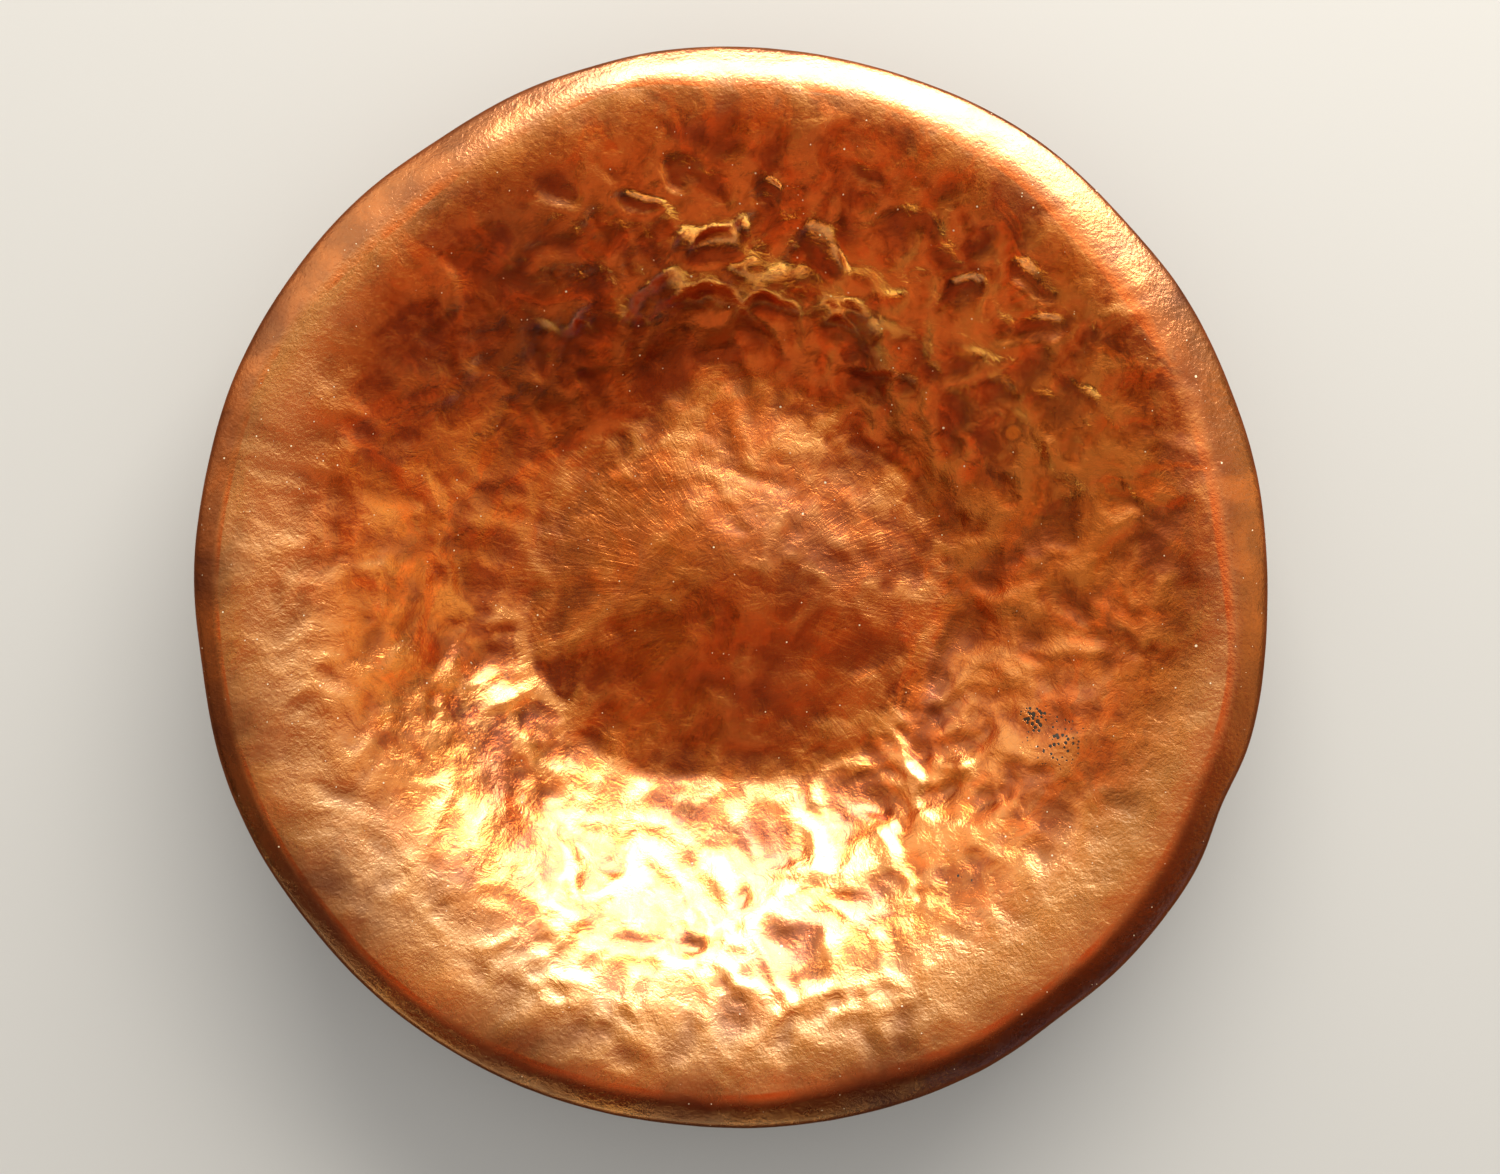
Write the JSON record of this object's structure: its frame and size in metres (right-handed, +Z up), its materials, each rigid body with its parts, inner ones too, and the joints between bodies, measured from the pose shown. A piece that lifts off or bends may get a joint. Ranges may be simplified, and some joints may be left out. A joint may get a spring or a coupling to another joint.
{
  "type": "hammered copper bowl",
  "caption": "Shallow round hammered copper bowl with a raised centre, a smooth shoulder and a turned-down wired rim.",
  "frame": {"origin": "on the table, at the centre of the ring that the bowl stands on", "axes": "+Z up along the bowl's axis; the bowl is round about Z"},
  "size_m": [0.3, 0.3, 0.0423],
  "materials": {
    "copper": "hammered and polished copper, lightly tarnished",
    "steel": "plain drawn wire"
  },
  "bodies": {
    "root": {"bowl_sheet": "copper", "rim_wire": "steel"}
  },
  "joints": []
}
